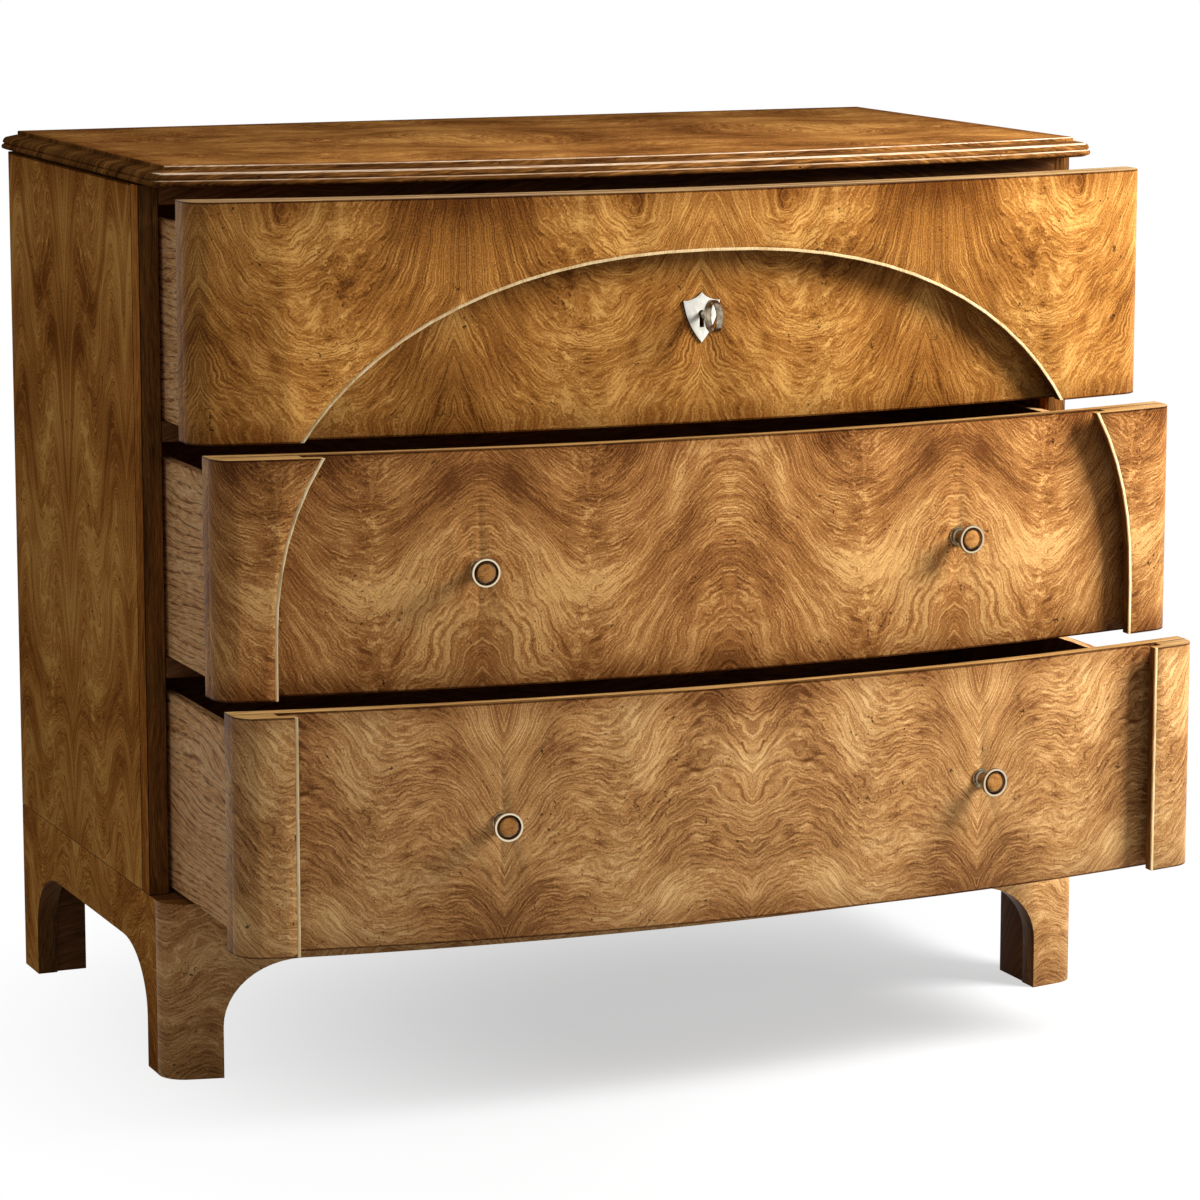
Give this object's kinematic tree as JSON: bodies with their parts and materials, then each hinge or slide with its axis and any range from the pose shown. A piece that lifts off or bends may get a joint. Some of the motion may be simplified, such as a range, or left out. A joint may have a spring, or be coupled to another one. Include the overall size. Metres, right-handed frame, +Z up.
{
  "type": "bow-front chest of drawers",
  "caption": "Bow-front chest of long drawers on bracket feet, with an arched recess across the fronts, round knobs, a key and drawers that slide.",
  "frame": {"origin": "on the floor, midway across the width, and midway between the foremost piece at rest (the lower drawer's knobs) and the back edge of the top", "axes": "+X to the right as seen from the front, +Y from the front to the back, +Z up"},
  "size_m": [1.0446, 0.8283, 0.9215],
  "materials": {
    "figured_veneer": "polished walnut or ash burr veneer, honey brown",
    "dark_veneer": "polished dark walnut veneer",
    "polished_wood": "polished, worn at the edges",
    "carcass_wood": "plain planed softwood, aged dark",
    "drawer_side_wood": "plain ash, unpolished",
    "inlay_wood": "polished light stringing",
    "bone": "polished bone, yellowed",
    "brass": "polished, tarnished in the grooves",
    "iron": "dull, dark",
    "steel": "worn, slightly yellow"
  },
  "bodies": {
    "case": {"top_board": "polished_wood", "top_moulding_front": "polished_wood", "top_moulding_left": "polished_wood", "top_moulding_right": "polished_wood", "side_left": "dark_veneer", "side_right": "dark_veneer", "stile_left": "dark_veneer", "stile_right": "dark_veneer", "back_panel": "carcass_wood", "top_rail": "carcass_wood", "rail_1": "carcass_wood", "rail_2": "carcass_wood", "bottom_board": "carcass_wood", "runners": "carcass_wood", "guides": "carcass_wood", "base_front": "figured_veneer", "base_left": "dark_veneer", "base_right": "dark_veneer", "base_back": "carcass_wood", "base_blocks": "carcass_wood"},
    "drawer_1": {"d1_front": "figured_veneer", "d1_surround": "figured_veneer", "d1_stringing": "inlay_wood", "d1_side_left": "drawer_side_wood", "d1_side_right": "drawer_side_wood", "d1_back": "carcass_wood", "d1_bottom": "carcass_wood", "d1_escutcheon": "bone", "d1_lock_case": "iron", "d1_lock_screws": "steel", "d1_bolt_guides": "iron"},
    "drawer_2": {"d2_front": "figured_veneer", "d2_surround_left": "figured_veneer", "d2_surround_right": "figured_veneer", "d2_stringing_left": "inlay_wood", "d2_stringing_right": "inlay_wood", "d2_side_left": "drawer_side_wood", "d2_side_right": "drawer_side_wood", "d2_back": "carcass_wood", "d2_bottom": "carcass_wood", "d2_knobs": "brass", "d2_knob_discs": "dark_veneer", "d2_knob_screws": "steel"},
    "drawer_3": {"d3_front": "figured_veneer", "d3_surround_left": "figured_veneer", "d3_surround_right": "figured_veneer", "d3_stringing_left": "inlay_wood", "d3_stringing_right": "inlay_wood", "d3_side_left": "drawer_side_wood", "d3_side_right": "drawer_side_wood", "d3_back": "carcass_wood", "d3_bottom": "carcass_wood", "d3_knobs": "brass", "d3_knob_discs": "dark_veneer", "d3_knob_screws": "steel"},
    "key": {"key": "steel"},
    "bolt": {"bolt": "steel"}
  },
  "joints": [
    {"name": "drawer_1_slide", "type": "slide", "parent": "case", "child": "drawer_1", "axis": [0, -1, 0], "range_m": [-0.121, 0.209]},
    {"name": "drawer_2_slide", "type": "slide", "parent": "case", "child": "drawer_2", "axis": [0, -1, 0], "range_m": [-0.193, 0.137]},
    {"name": "drawer_3_slide", "type": "slide", "parent": "case", "child": "drawer_3", "axis": [0, -1, 0], "range_m": [-0.25, 0.08]},
    {"name": "key_turn", "type": "hinge", "parent": "drawer_1", "child": "key", "pos_m": [0, -0.25338, 0.7715], "axis": [0, 1, 0], "range_deg": [0, 180]},
    {"name": "bolt_slide", "type": "slide", "parent": "drawer_1", "child": "bolt", "axis": [0, 0, 1], "range_m": [0, 0.008]}
  ],
  "couplings": [
    {"joint": "key_turn", "follows": "bolt_slide", "rad_per_m": 392.7}
  ]
}
